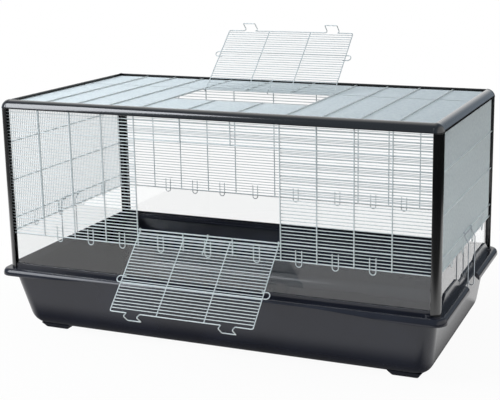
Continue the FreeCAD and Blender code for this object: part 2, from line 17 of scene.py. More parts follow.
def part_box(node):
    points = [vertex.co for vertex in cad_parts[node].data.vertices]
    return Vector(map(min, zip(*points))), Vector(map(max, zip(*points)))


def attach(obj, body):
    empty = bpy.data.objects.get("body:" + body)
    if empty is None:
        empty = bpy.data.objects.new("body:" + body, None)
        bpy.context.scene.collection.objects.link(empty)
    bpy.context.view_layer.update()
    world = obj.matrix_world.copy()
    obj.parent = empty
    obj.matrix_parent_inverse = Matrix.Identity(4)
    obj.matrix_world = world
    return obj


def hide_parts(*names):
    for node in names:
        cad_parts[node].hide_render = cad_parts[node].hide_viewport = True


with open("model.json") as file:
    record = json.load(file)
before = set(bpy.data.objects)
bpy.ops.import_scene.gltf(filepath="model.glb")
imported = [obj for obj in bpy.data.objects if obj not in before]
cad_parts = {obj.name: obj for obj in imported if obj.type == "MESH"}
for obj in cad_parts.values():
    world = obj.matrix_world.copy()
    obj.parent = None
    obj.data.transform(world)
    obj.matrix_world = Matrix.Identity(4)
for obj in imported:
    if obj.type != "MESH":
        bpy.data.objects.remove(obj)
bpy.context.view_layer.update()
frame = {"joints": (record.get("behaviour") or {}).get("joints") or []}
MM = 0.001
POST_LOW, POST_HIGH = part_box("post_front_left")
INNER_X = -POST_HIGH.x
INNER_Y = -POST_HIGH.y
RIM_TOP = POST_LOW.z
RAIL_Z = POST_HIGH.z
HINGES = {joint["name"]: Vector(joint["pos_m"]) for joint in frame["joints"]}
print("frame inside", INNER_X * 2, "x", INNER_Y * 2, "rim at", RIM_TOP, "rails at", RAIL_Z)

# %% [markdown]
# ## Working by hand, in code
#
# Every operator in Blender works on what is selected, so a script first says what that is, as a hand on
# the mouse would. These few helpers pick pieces, open one in edit mode with chosen parts selected,
# apply a modifier, and write a piece's place into its mesh, so that its object stays at the origin.


# %% Helpers for picking, editing and placing
def pick(*pieces):
    """Selects only these pieces and makes the first one active."""
    bpy.ops.object.select_all(action="DESELECT")
    for piece in pieces:
        piece.select_set(True)
    bpy.context.view_layer.objects.active = pieces[0]
    return pieces[0]


def choose(piece, kind, test):
    """Opens a piece in edit mode with only the parts that pass the test selected."""
    pick(piece)
    bpy.ops.object.mode_set(mode="EDIT")
    bpy.ops.mesh.select_mode(type=kind)
    bpy.ops.mesh.select_all(action="DESELECT")
    mesh = bmesh.from_edit_mesh(piece.data)
    for part in {"VERT": mesh.verts, "EDGE": mesh.edges, "FACE": mesh.faces}[kind]:
        if test(part):
            part.select_set(True)
    mesh.select_flush_mode()
    bmesh.update_edit_mesh(piece.data)


def put_down():
    bpy.ops.object.mode_set(mode="OBJECT")


def apply_modifier(piece, kind, **settings):
    pick(piece)
    bpy.ops.object.modifier_add(type=kind)
    modifier = piece.modifiers[-1]
    for name, value in settings.items():
        setattr(modifier, name, value)
    bpy.ops.object.modifier_apply(modifier=modifier.name)


def settle(piece, move=Matrix()):
    """Moves a piece and writes its place into its mesh."""
    pick(piece)
    piece.matrix_world = move @ piece.matrix_world
    bpy.ops.object.transform_apply(location=True, rotation=True, scale=True)
    return piece


def copy_of(piece, move):
    pick(piece)
    bpy.ops.object.duplicate(linked=False)
    return settle(bpy.context.object, move)


def joined(pieces):
    pick(*pieces)
    bpy.ops.object.join()
    return pieces[0]


def face_outwards(piece):
    choose(piece, "FACE", lambda face: True)
    bpy.ops.mesh.normals_make_consistent(inside=False)
    put_down()


SMOOTH_UNDER = math.radians(38)


def hand_over(piece, name, node, body, finish):
    """Names a finished piece, gives it its material, hangs it on its body and hides the CAD node it replaces.
    """
    piece.name = name
    pick(piece)
    bpy.ops.object.shade_smooth_by_angle(angle=SMOOTH_UNDER)
    apply_modifier(piece, "WEIGHTED_NORMAL", keep_sharp=True)
    piece.data.materials.clear()
    piece.data.materials.append(finish)
    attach(piece, body)
    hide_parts(node)
    print(name, len(piece.data.polygons), "faces")


# %% [markdown]
# ## Camera
#
# The camera stands where the photographer stood: to the right of the cage's middle and a little above it,
# 2.3 m away with a longer lens. Place, turn and lens were solved from the frame's corners and the wire
# rows, and a small shift moves the picture as the photograph is cropped.

# %% Camera at the photograph's viewpoint
CAMERA_PLACE = Vector((0.9466, -2.1501, 0.8671))
CAMERA_YAW = math.radians(20.76)
CAMERA_PITCH = math.radians(12.16)
CAMERA_ROLL = math.radians(-0.41)
CAMERA_LENS = 77.16
CAMERA_SHIFT = (-0.1196, -0.067)

upright = Matrix.Rotation(CAMERA_YAW, 4, "Z") @ Matrix.Rotation(math.radians(90) - CAMERA_PITCH, 4, "X")
bpy.ops.object.camera_add()
camera = bpy.context.object
camera.matrix_world = Matrix.Translation(CAMERA_PLACE) @ upright @ Matrix.Rotation(CAMERA_ROLL, 4, "Z")
camera.data.lens = CAMERA_LENS
camera.data.shift_x, camera.data.shift_y = CAMERA_SHIFT
bpy.context.scene.camera = camera
print("camera", [round(value, 3) for value in camera.location])

# %% [markdown]
# ## Materials
#
# Four kinds of material make up the cage. Each starts from what the real one is, and its patterns are
# sized in millimetres on Object coordinates, or on the piece's own UV map where a pattern runs along a
# profile. One function turns hex colours into linear light, and one adds a node with its settings and links.


# %% Colour and node helpers
def linear(code):
    """An sRGB hex colour as linear light."""
    levels = [int(code[place:place + 2], 16) / 255 for place in (1, 3, 5)]
    light = [level / 12.92 if level < 0.04045 else ((level + 0.055) / 1.055) ** 2.4 for level in levels]
    return light + [1]


def add_node(tree, kind, inputs=(), stops=(), **settings):
    """Adds a node. Its inputs go by name or in order, and each is a value or another node's output.

    Stops are the places and colours of a colour ramp.
    """
    made = tree.nodes.new(kind)
    for name, value in settings.items():
        setattr(made, name, value)
    for name, value in inputs.items() if isinstance(inputs, dict) else enumerate(inputs):
        if isinstance(value, bpy.types.NodeSocket):
            tree.links.new(value, made.inputs[name])
        else:
            made.inputs[name].default_value = value
    for number, (position, colour) in enumerate(stops):
        made.color_ramp.elements[number].position = position
        made.color_ramp.elements[number].color = linear(colour)
    return made


def new_material(name):
    """An empty material: its tree, its shader and the coordinates of the piece that wears it."""
    material = bpy.data.materials.new(name)
    material.use_nodes = True
    tree = material.node_tree
    shader = tree.nodes["Principled BSDF"]
    place = add_node(tree, "ShaderNodeTexCoord")
    return material, tree, shader, place


# %% [markdown]
# ### Tray: black polypropylene, injection moulded
#
# The mould was fine-blasted, so the tray is satin: it mirrors the floor softly and goes pale at a low
# angle. The blasted grain is about 0.3 mm on the real part; it is drawn at 1.2 mm so that it shows.

# %% Satin black moulded polypropylene
NOISE_SPAN = (0.3, 0.7)
DARK_STOP = 0.35
LIGHT_STOP = 0.65
TRAY_GRAIN = 1.2 * MM
TRAY_GRAIN_DEEP = 0.012 * MM
TRAY_FLOW = 140 * MM
TRAY_TINTS = [(DARK_STOP, "#1C1E28"), (LIGHT_STOP, "#232631")]
TRAY_ROUGH = (0.13, 0.19)
TRAY_IOR = 1.49
tray_plastic, tree, shader, place = new_material("satin_black_polypropylene")
grain = add_node(tree, "ShaderNodeTexNoise", {"Vector": place.outputs["Object"], "Scale": 1 / TRAY_GRAIN})
flow = add_node(tree, "ShaderNodeTexNoise", {"Vector": place.outputs["Object"], "Scale": 1 / TRAY_FLOW})
tinted = add_node(tree, "ShaderNodeValToRGB", {"Fac": flow.outputs["Fac"]}, stops=TRAY_TINTS)
rough = add_node(tree, "ShaderNodeMapRange", [flow.outputs["Fac"], *NOISE_SPAN, *TRAY_ROUGH])
relief = {"Height": grain.outputs["Fac"], "Strength": 1.0, "Distance": TRAY_GRAIN_DEEP}
bumps = add_node(tree, "ShaderNodeBump", relief)
tree.links.new(tinted.outputs["Color"], shader.inputs["Base Color"])
tree.links.new(rough.outputs["Result"], shader.inputs["Roughness"])
tree.links.new(bumps.outputs["Normal"], shader.inputs["Normal"])
shader.inputs["IOR"].default_value = TRAY_IOR
print(tray_plastic.name)

# %% [markdown]
# ### Frame: black rigid PVC, extruded, and its moulded corners
#
# An extruded profile is drawn through a die, which leaves faint lines along its length. They follow the
# profile, so they are laid on its UV map: many across, hardly any along. The corners are moulded of the
# same plastic and have no lines. A thin gloss coat lies over both.

# %% Glossy black PVC, with and without die lines
DIE_LINE = 0.9 * MM
LINES_ALONG = 2
PROFILE_ROUND = 75 * MM
CORNER_MOTTLE = 6 * MM
VINYL_MARK_DEEP = 0.01 * MM
VINYL_TINTS = [(DARK_STOP, "#0D0E0F"), (LIGHT_STOP, "#131416")]
VINYL_ROUGH = (0.13, 0.2)
VINYL_IOR = 1.53
COAT_WEIGHT = 0.9
COAT_ROUGH = 0.08


def black_vinyl(name, extruded):
    """The frame's plastic: lined along a profile, or finely mottled on a moulded corner."""
    material, tree, shader, place = new_material(name)
    spread = {"Vector": place.outputs["Object"], "Scale": 1 / CORNER_MOTTLE}
    if extruded:
        stretch = (PROFILE_ROUND / DIE_LINE, LINES_ALONG, 1)
        lines = add_node(tree, "ShaderNodeMapping", {"Vector": place.outputs["UV"], "Scale": stretch})
        spread = {"Vector": lines.outputs["Vector"], "Scale": 1.0}
    marks = add_node(tree, "ShaderNodeTexNoise", spread).outputs["Fac"]
    tinted = add_node(tree, "ShaderNodeValToRGB", {"Fac": marks}, stops=VINYL_TINTS)
    rough = add_node(tree, "ShaderNodeMapRange", [marks, *NOISE_SPAN, *VINYL_ROUGH])
    relief = {"Height": marks, "Strength": 1.0, "Distance": VINYL_MARK_DEEP}
    bumps = add_node(tree, "ShaderNodeBump", relief)
    tree.links.new(tinted.outputs["Color"], shader.inputs["Base Color"])
    tree.links.new(rough.outputs["Result"], shader.inputs["Roughness"])
    tree.links.new(bumps.outputs["Normal"], shader.inputs["Normal"])
    shader.inputs["IOR"].default_value = VINYL_IOR
    shader.inputs["Coat Weight"].default_value = COAT_WEIGHT
    shader.inputs["Coat Roughness"].default_value = COAT_ROUGH
    return material


profile_plastic = black_vinyl("extruded_black_pvc", True)
corner_plastic = black_vinyl("moulded_black_pvc", False)
print(profile_plastic.name, corner_plastic.name)

# %% [markdown]
# ### Wires: bright zinc-plated steel
#
# Drawn steel wire is welded first and plated after, so wires and welds share one bright, slightly milky
# coat. Its crystals cloud the surface in patches of a few millimetres, and spread every highlight wide.

# %% Bright zinc-plated steel wire
ZINC_CLOUD = 7 * MM
ZINC_DETAIL = 3.0
WIRE_TINTS = [(DARK_STOP, "#DCE3E4"), (LIGHT_STOP, "#E6ECEC")]
WIRE_ROUGH = (0.62, 0.7)
CLIP_TINTS = [(DARK_STOP, "#B4BBC1"), (LIGHT_STOP, "#C6CCD1")]
CLIP_ROUGH = (0.28, 0.38)


def zinc_plate(name, tints, roughness):
    """Plated steel, clouded between two tints and two roughnesses."""
    material, tree, shader, place = new_material(name)
    clouds = {"Vector": place.outputs["Object"], "Scale": 1 / ZINC_CLOUD, "Detail": ZINC_DETAIL}
    cloud = add_node(tree, "ShaderNodeTexNoise", clouds).outputs["Fac"]
    tinted = add_node(tree, "ShaderNodeValToRGB", {"Fac": cloud}, stops=tints)
    rough = add_node(tree, "ShaderNodeMapRange", [cloud, *NOISE_SPAN, *roughness])
    tree.links.new(tinted.outputs["Color"], shader.inputs["Base Color"])
    tree.links.new(rough.outputs["Result"], shader.inputs["Roughness"])
    shader.inputs["Metallic"].default_value = 1.0
    return material


plated_wire = zinc_plate("bright_zinc_plated_steel", WIRE_TINTS, WIRE_ROUGH)
clip_wire = zinc_plate("zinc_plated_spring_steel", CLIP_TINTS, CLIP_ROUGH)
print(plated_wire.name, clip_wire.name)

# %% [markdown]
# ### Windows: clear polystyrene sheet
#
# The sheet is extruded between rollers: glass clear, with two glossy faces that mirror the white room
# faintly. Rollers and handling leave it a little less sharp in wide patches.

# %% Clear polystyrene sheet
SHEET_PATCH = 120 * MM
SHEET_ROUGH = (0.0, 0.01)
SHEET_TINT = "#FDFEFE"
SHEET_IOR = 1.57
clear_plastic, tree, shader, place = new_material("clear_polystyrene_sheet")
wear = {"Vector": place.outputs["Object"], "Scale": 1 / SHEET_PATCH, "Detail": 0.0}
patches = add_node(tree, "ShaderNodeTexNoise", wear)
rough = add_node(tree, "ShaderNodeMapRange", [patches.outputs["Fac"], *NOISE_SPAN, *SHEET_ROUGH])
tree.links.new(rough.outputs["Result"], shader.inputs["Roughness"])
shader.inputs["Base Color"].default_value = linear(SHEET_TINT)
shader.inputs["Transmission Weight"].default_value = 1.0
shader.inputs["IOR"].default_value = SHEET_IOR
print(clear_plastic.name)

# %% [markdown]
# ## Tray
#
# The tray is one moulding: a flat floor, a round foot, leaning walls, a flat rim and a lip that hangs from
# it. It could be pushed out of a cube, but the rim's corners are tighter than the basin's, and the lip is
# arched along each side. So a flat grid is wrapped round a stack of rounded rectangles instead: its columns
# go round the tray, its rows step from the underside, out over the lip and down again to the inner floor.


# %% Wrap a grid round a stack of closed sections
MERGE = 0.002 * MM


def loft(sections):
    """A closed skin through sections that all have the same number of points."""
    around = len(sections[0])
    rows = len(sections) - 1
    bpy.ops.mesh.primitive_grid_add(x_subdivisions=around, y_subdivisions=rows, size=2)
    piece = bpy.context.object
    for vertex in piece.data.vertices:
        column = round((vertex.co.x + 1) / 2 * around) % around
        row = round((vertex.co.y + 1) / 2 * rows)
        vertex.co = sections[row][column]
    choose(piece, "VERT", lambda vertex: True)
    bpy.ops.mesh.remove_doubles(threshold=MERGE)
    bpy.ops.mesh.fill_holes(sides=0)
    put_down()
    face_outwards(piece)
    return piece


# %% Rounded rectangles, with more points where the lip changes
CORNER_STEPS = 10
LONG_STEPS = 80
SHORT_STEPS = 40
NOTCH_HALF = 47.5 * MM
NOTCH_EDGE = 0.3 * MM
TRAY_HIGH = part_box("base_tray")[1]
RIM_X = TRAY_HIGH.x
RIM_Y = TRAY_HIGH.y
RIM_CORNER = 26 * MM

long_shares = [2 * step / LONG_STEPS - 1 for step in range(1, LONG_STEPS)]
short_shares = [2 * step / SHORT_STEPS - 1 for step in range(1, SHORT_STEPS)]
for edge in (NOTCH_HALF - NOTCH_EDGE, NOTCH_HALF + NOTCH_EDGE):
    short_shares += [edge / (RIM_Y - RIM_CORNER), -edge / (RIM_Y - RIM_CORNER)]
short_shares.sort()


def outline(half_x, half_y, corner):
    """A rounded rectangle, with the same number of points whatever its size."""
    run_x = half_x - corner
    run_y = half_y - corner
    sides = [
        [Vector((half_x, run_y * share)) for share in short_shares],
        [Vector((-run_x * share, half_y)) for share in long_shares],
        [Vector((-half_x, -run_y * share)) for share in short_shares],
        [Vector((run_x * share, -half_y)) for share in long_shares],
    ]
    signs = ((1, 1), (-1, 1), (-1, -1), (1, -1))
    centres = [Vector((sign_x * run_x, sign_y * run_y)) for sign_x, sign_y in signs]
    points = []
    for quarter, (side, centre) in enumerate(zip(sides, centres)):
        points += side
        for step in range(CORNER_STEPS + 1):
            angle = math.radians(90) * (quarter + step / CORNER_STEPS)
            points.append(centre + corner * Vector((math.cos(angle), math.sin(angle))))
    return points


print(len(outline(RIM_X, RIM_Y, RIM_CORNER)), "points round the tray")

# %% Sections of the basin, outside and inside
FLOOR_Z = 9 * MM
TRAY_WALL = 3 * MM
FLOOR_HALF = Vector((463, 223)) * MM
BODY_HALF = Vector((482, 263)) * MM
BODY_TOP = RIM_TOP - 2 * MM
TRAY_CORNER = 34 * MM
FOOT_ROUND = 32 * MM
FOOT_STEPS = 10


def at_height(points, height):
    return [Vector((point.x, point.y, height)) for point in points]


def wall_section(inset, height, drawn_in=0.0):
    """The leaning wall at one height, drawn in where it turns under into the floor."""
    half = FLOOR_HALF.lerp(BODY_HALF, (height - FLOOR_Z) / (BODY_TOP - FLOOR_Z))
    less = inset + drawn_in
    return at_height(outline(half.x - less, half.y - less, TRAY_CORNER - less), height)


def basin_sections(inset):
    """From the flat floor out over the round foot."""
    sections = []
    radius = FOOT_ROUND - inset
    for step in range(FOOT_STEPS + 1):
        angle = math.radians(90) * (1 - step / FOOT_STEPS)
        height = FLOOR_Z + inset + radius * (1 - math.sin(angle))
        sections.append(wall_section(inset, height, radius * (1 - math.cos(angle))))
    return sections


# %% Sections of the rim and its hanging lip
RIM_UNDER = RIM_TOP - 4 * MM
LIP_WALL = 2.5 * MM
LIP_DEEP = 15 * MM
LIP_SHALLOW = 6 * MM
RIM_FLARE = 6 * MM
LIP_ROUND = 0.8 * MM
LIP_SWELL = 3
LIP_STEPS = 5
RIM_ROUND = 3 * MM
RIM_ROUND_STEPS = 5
LIP_FACE_TOP = RIM_TOP - RIM_ROUND
ARCH_ALONG = (220 * MM, 460 * MM)
NOTCH_DEPTH = 12 * MM
HOLE_LEDGE = 1 * MM
HOLE_CORNER = 2 * MM
HOLE_ROUND = 0.8 * MM


def ease(value, low, high):
    share = min(max((value - low) / (high - low), 0), 1)
    return share * share * (3 - 2 * share)


def lip_edge(x, y):
    """Height of the lip's lower edge: deep at the ends, arched up along the sides, gone in a notch."""
    if abs(y) < NOTCH_HALF:
        return RIM_UNDER
    depth = ease(abs(x), *ARCH_ALONG)
    return RIM_TOP - LIP_SHALLOW - (LIP_DEEP - LIP_SHALLOW) * depth


def part_way(start, end, share):
    return start + (end - start) * share


def rim_section(inset, height):
    """The rim's outline, swelling out lower down, and set back where a clip passes through its notch."""
    points = []
    wide = outline(RIM_X - inset, RIM_Y - inset, RIM_CORNER - inset)
    less = inset + RIM_FLARE
    narrow = outline(RIM_X - less, RIM_Y - less, RIM_CORNER - less)
    for low_point, high_point in zip(wide, narrow):
        z = height(low_point.x, low_point.y)
        x, y = high_point.lerp(low_point, 1 - (1 - (RIM_TOP - z) / LIP_DEEP) ** LIP_SWELL)
        if abs(y) < NOTCH_HALF:
            x = math.copysign(RIM_X - NOTCH_DEPTH - inset, x)
        points.append(Vector((x, y, z)))
    return points


def hole_section(outset, height):
    half_x = INNER_X - HOLE_LEDGE + outset
    half_y = INNER_Y - HOLE_LEDGE + outset
    return at_height(outline(half_x, half_y, HOLE_CORNER + outset), height)


tray_sections = basin_sections(0) + [wall_section(0, RIM_UNDER)]
tray_sections.append(rim_section(LIP_WALL, lambda x, y: RIM_UNDER))
tray_sections.append(rim_section(LIP_WALL, lip_edge))
tray_sections.append(rim_section(LIP_ROUND, lip_edge))
for step in range(LIP_STEPS):
    share = step / LIP_STEPS
    lip_face = rim_section(0, lambda x, y: part_way(lip_edge(x, y) + LIP_ROUND, LIP_FACE_TOP, share))
    tray_sections.append(lip_face)
for step in range(RIM_ROUND_STEPS + 1):
    angle = math.radians(90) * step / RIM_ROUND_STEPS
    top = RIM_TOP - RIM_ROUND * (1 - math.sin(angle))
    tray_sections.append(rim_section(RIM_ROUND * (1 - math.cos(angle)), lambda x, y: top))
tray_sections.append(hole_section(HOLE_ROUND, RIM_TOP))
tray_sections.append(hole_section(0, RIM_TOP - HOLE_ROUND))
tray_sections.append(hole_section(0, RIM_UNDER))
tray_sections.append(wall_section(TRAY_WALL, RIM_UNDER))
tray_sections += reversed(basin_sections(TRAY_WALL))
tray_shell = loft(tray_sections)
print("tray skin", len(tray_sections), "sections")

# %% [markdown]
# Guards and beads stand on the rim and make the channel that the windows slide down into. Each is a cube
# stretched between two corners with its edges eased. The right guard rises on both sides of the clip, so
# it is its side view, lofted to its thickness. A foot is a cube with its underside drawn in by a resize,
# and its top slants up under the tray's round edge.


# %% Guards and beads
GUARD_NEAR = 12.2 * MM
GUARD_WALL = 2.8 * MM
GUARD_TALL = 10 * MM
SIDE_GUARD_TALL = 28 * MM
SIDE_GUARD_LOW = 14 * MM
SIDE_GUARD_SLOPE = 45 * MM
BEAD_NEAR = 7 * MM
BEAD_WALL = 3 * MM
BEAD_TALL = 5 * MM
SUNK = 1 * MM
EDGE_EASE = 0.7 * MM
EASE_OVER = 30


def ease_edges(piece, width, over=EASE_OVER):
    """Rounds the edges that turn by more than so many degrees."""
    apply_modifier(piece, "BEVEL", width=width, segments=2, limit_method="ANGLE",
                   angle_limit=math.radians(over))


def bar(low, high, draw_in=None, ease_by=EDGE_EASE):
    """A block between two corners, its underside drawn in where asked, its edges eased."""
    low, high = Vector(low), Vector(high)
    bpy.ops.mesh.primitive_cube_add(size=1, location=(low + high) / 2, scale=high - low)
    piece = settle(bpy.context.object)
    if draw_in:
        choose(piece, "FACE", lambda face: face.normal.z < -0.5)
        bpy.ops.transform.resize(value=draw_in)
        put_down()
    ease_edges(piece, ease_by)
    return piece


base = RIM_TOP - SUNK
tray_extras = []
for side in (-1, 1):
    near, far = sorted((side * (INNER_Y + GUARD_NEAR), side * (INNER_Y + GUARD_NEAR + GUARD_WALL)))
    tray_extras.append(bar((-INNER_X, near, base), (INNER_X, far, RIM_TOP + GUARD_TALL)))
    near, far = sorted((side * (INNER_Y + BEAD_NEAR), side * (INNER_Y + BEAD_NEAR + BEAD_WALL)))
    tray_extras.append(bar((-INNER_X, near, base), (INNER_X, far, RIM_TOP + BEAD_TALL)))
    near, far = sorted((side * (INNER_X + BEAD_NEAR), side * (INNER_X + BEAD_NEAR + BEAD_WALL)))
    tray_extras.append(bar((near, -INNER_Y, base), (far, INNER_Y, RIM_TOP + BEAD_TALL)))
near = INNER_X + GUARD_NEAR
far = near + GUARD_WALL
tray_extras.append(bar((-far, -INNER_Y, base), (-near, INNER_Y, RIM_TOP + GUARD_TALL)))
dip = NOTCH_HALF + SIDE_GUARD_SLOPE * SIDE_GUARD_LOW / SIDE_GUARD_TALL
half_view = [(dip, SIDE_GUARD_LOW), (NOTCH_HALF + SIDE_GUARD_SLOPE, SIDE_GUARD_TALL)]
half_view += [(INNER_Y - SIDE_GUARD_SLOPE, SIDE_GUARD_TALL), (INNER_Y, 0), (INNER_Y, -SUNK)]
side_view = [(-y, z) for y, z in reversed(half_view)] + half_view
right_guard = loft([[Vector((x, y, RIM_TOP + z)) for y, z in side_view] for x in (near, far)])
ease_edges(right_guard, EDGE_EASE)
tray_extras.append(right_guard)
print(len(tray_extras), "guards and beads")

# %% Feet
FOOT_PLACE = Vector((408, 190)) * MM
FOOT_HALF = Vector((36.9, 20.9)) * MM
FOOT_DRAW = (0.73, 0.53, 1)
FOOT_EASE = 2.5 * MM
FOOT_TOP = FLOOR_Z + 5 * MM
FOOT_SLANT = 4.5 * MM
for side_x in (-1, 1):
    for side_y in (-1, 1):
        x = side_x * FOOT_PLACE.x
        y = side_y * FOOT_PLACE.y
        low = (x - FOOT_HALF.x, y - FOOT_HALF.y, 0)
        high = (x + FOOT_HALF.x, y + FOOT_HALF.y, FOOT_TOP)
        foot = bar(low, high, FOOT_DRAW, FOOT_EASE)
        choose(foot, "VERT", lambda vertex: vertex.co.z > FOOT_TOP / 2 and abs(vertex.co.y) < FOOT_PLACE.y)
        bpy.ops.transform.translate(value=(0, 0, -FOOT_SLANT))
        put_down()
        tray_extras.append(foot)
print(len(tray_extras), "guards, beads and feet")

# %% [markdown]
# A low collar hugs the round face of each post where it stands on the rim. It is the collar's small
# section, a plane, spun a quarter turn round the post's corner, then copied to the other corners.

# %% Collars, and the tray joined
COLLAR_INNER = 18.3 * MM
COLLAR_WALL = 2.6 * MM
COLLAR_TALL = 4 * MM
COLLAR_STEPS = 12
COLLAR_EASE_OVER = 50
CORNERS = {"back_right": 0, "back_left": 90, "front_left": 180, "front_right": 270}


def corner_move(corner, height):
    """Carries a piece drawn at the origin, for the back right corner, to any corner of the frame."""
    angle = math.radians(CORNERS[corner])
    side_x = 1 if "right" in corner else -1
    side_y = 1 if "back" in corner else -1
    place = Matrix.Translation((side_x * INNER_X, side_y * INNER_Y, height))
    return place @ Matrix.Rotation(angle, 4, "Z")


bpy.ops.mesh.primitive_plane_add(size=1, rotation=(math.radians(90), 0, 0))
collar = bpy.context.object
collar.scale = (COLLAR_WALL, COLLAR_TALL + SUNK, 1)
collar.location = (COLLAR_INNER + COLLAR_WALL / 2, 0, (COLLAR_TALL - SUNK) / 2)
settle(collar)
choose(collar, "FACE", lambda face: True)
bpy.ops.mesh.spin(steps=COLLAR_STEPS, angle=math.radians(90), center=(0, 0, 0), axis=(0, 0, 1))
put_down()
face_outwards(collar)
print("collar", [round(size / MM, 1) for size in collar.dimensions], "mm")
ease_edges(collar, EDGE_EASE, COLLAR_EASE_OVER)
for corner in CORNERS:
    tray_extras.append(copy_of(collar, corner_move(corner, RIM_TOP)))
bpy.data.objects.remove(collar)

tray_piece = joined([tray_shell] + tray_extras)
hand_over(tray_piece, "tray_moulding", "base_tray", "cage", tray_plastic)

# %% [markdown]
# ## Frame
#
# Posts and rails are cut from one extruded profile: a quarter round with a slot in each flat face for the
# panels. The section is lofted along its length, so its UV map runs along the profile for the die lines,
# and a bevel takes the knife edge off. A corner is an eighth of a ball, cut from a sphere by three planes.

# %% Posts and rails
PROFILE_RADIUS = 18 * MM
PROFILE_CHAMFER = 5 * MM
SLOT_NEAR = 10.1 * MM
SLOT_FAR = 15.3 * MM
SLOT_DEEP = 6 * MM
ARC_STEPS = 16
PROFILE_EASE = 0.7 * MM
PROFILE_EASE_OVER = 40


def profile_section(height):
    """The profile's outline: its blunt inner corner, a slot, the round face and the other slot."""
    near_side = [(PROFILE_CHAMFER, 0), (SLOT_NEAR, 0), (SLOT_NEAR, SLOT_DEEP)]
    near_side += [(SLOT_FAR, SLOT_DEEP), (SLOT_FAR, 0)]
    far_side = [(y, x) for x, y in reversed(near_side)]
    angles = [math.radians(90) * step / ARC_STEPS for step in range(ARC_STEPS + 1)]
    arc = [(PROFILE_RADIUS * math.cos(angle), PROFILE_RADIUS * math.sin(angle)) for angle in angles]
    return [Vector((x, y, height)) for x, y in near_side + arc + far_side]


def profile(length):
    piece = loft([profile_section(0), profile_section(length)])
    ease_edges(piece, PROFILE_EASE, PROFILE_EASE_OVER)
    return piece


LAID = Matrix.Rotation(math.radians(90), 4, "X")
RAIL_FROM = {"right": "back_right", "back": "back_left", "left": "front_left", "front": "front_right"}
for corner in CORNERS:
    post = settle(profile(RAIL_Z - RIM_TOP), corner_move(corner, RIM_TOP))
    hand_over(post, "profile_post_" + corner, "post_" + corner, "cage", profile_plastic)
for side, corner in RAIL_FROM.items():
    length = 2 * (INNER_X if side in ("front", "back") else INNER_Y)
    rail = settle(profile(length), corner_move(corner, RAIL_Z) @ LAID)
    hand_over(rail, "profile_rail_" + side, "rail_" + side, "cage", profile_plastic)

# %% Rounded corners
CAP_RADIUS = 18.6 * MM
CAP_EASE = 0.9 * MM
CAP_EASE_OVER = 60
CAP_SEGMENTS = 48
CAP_RINGS = 24
bpy.ops.mesh.primitive_uv_sphere_add(segments=CAP_SEGMENTS, ring_count=CAP_RINGS, radius=CAP_RADIUS)
cap = bpy.context.object
for axis in ((1, 0, 0), (0, 1, 0), (0, 0, 1)):
    choose(cap, "FACE", lambda face: True)
    bpy.ops.mesh.bisect(plane_co=(0, 0, 0), plane_no=axis, use_fill=True, clear_inner=True)
    put_down()
choose(cap, "VERT", lambda vertex: True)
bpy.ops.mesh.remove_doubles(threshold=MERGE)
put_down()
face_outwards(cap)
ease_edges(cap, CAP_EASE, CAP_EASE_OVER)
for corner in CORNERS:
    placed = copy_of(cap, corner_move(corner, RAIL_Z))
    hand_over(placed, "cap_" + corner, "corner_" + corner, "cage", corner_plastic)
bpy.data.objects.remove(cap)

# %% [markdown]
# ## Windows
#
# Four clear sheets stand in the rim's channel and reach into the posts' slots. A sheet is a cube with the
# packed window's own corners and its sawn edges eased, so that they catch a thin line of light.

# %% Clear windows
SHEET_EASE = 0.25 * MM
for side in ("front", "back", "left", "right"):
    low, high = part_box("window_" + side)
    sheet = bar(low, high, ease_by=SHEET_EASE)
    hand_over(sheet, "sheet_" + side, "window_" + side, "cage", clear_plastic)

# %% [markdown]
# ## Wire panels
#
# A panel is two layers of straight wire, welded where they cross. One wire is a cylinder with its cut ends
# chamfered, and an Array modifier lays the rest at the cage's pitch of 6.9 mm. Wires that are bent, such as
# the U-shaped hooks that keep a window in, are drawn as a line with round bends and given a round bevel.

# %% Straight and bent wires
WIRE_SIDES = 10
WIRE_BEVEL = 3
CUT_CHAMFER = 0.25 * MM
BEND_STEP = math.radians(15)
LIE = {"X": (0, math.radians(90), 0), "Y": (math.radians(90), 0, 0), "Z": (0, 0, 0)}
ALONG = {"X": Vector((1, 0, 0)), "Y": Vector((0, 1, 0)), "Z": Vector((0, 0, 1))}


def straight_wires(axis, size, start, length, step=(0, 0, 0), count=1):
    """A row of parallel wires of one size, from the start of the first one."""
    middle = Vector(start) + ALONG[axis] * length / 2
    bpy.ops.mesh.primitive_cylinder_add(
        vertices=WIRE_SIDES, radius=size / 2, depth=length, location=middle, rotation=LIE[axis])
    wire = settle(bpy.context.object)
    choose(wire, "FACE", lambda face: len(face.verts) == WIRE_SIDES)
    bpy.ops.mesh.bevel(offset=CUT_CHAMFER, segments=1)
    put_down()
    if count > 1:
        apply_modifier(wire, "ARRAY", count=count, use_relative_offset=False,
                       use_constant_offset=True, constant_offset_displace=step)
    return wire


def bent_line(points, bends):
    """A line through the points, with a round bend of the given radius at each inner point."""
    line = [points[0]]
    for before, corner, after, bend in zip(points, points[1:], points[2:], bends):
        arriving = (corner - before).normalized()
        leaving = (after - corner).normalized()
        turn = arriving.angle(leaving)
        centre = corner + (leaving - arriving).normalized() * bend / math.cos(turn / 2)
        first = corner - arriving * bend * math.tan(turn / 2) - centre
        axis = arriving.cross(leaving).normalized()
        steps = math.ceil(turn / BEND_STEP)
        line += [centre + Quaternion(axis, turn * step / steps) @ first for step in range(steps + 1)]
    return line + [points[-1]]


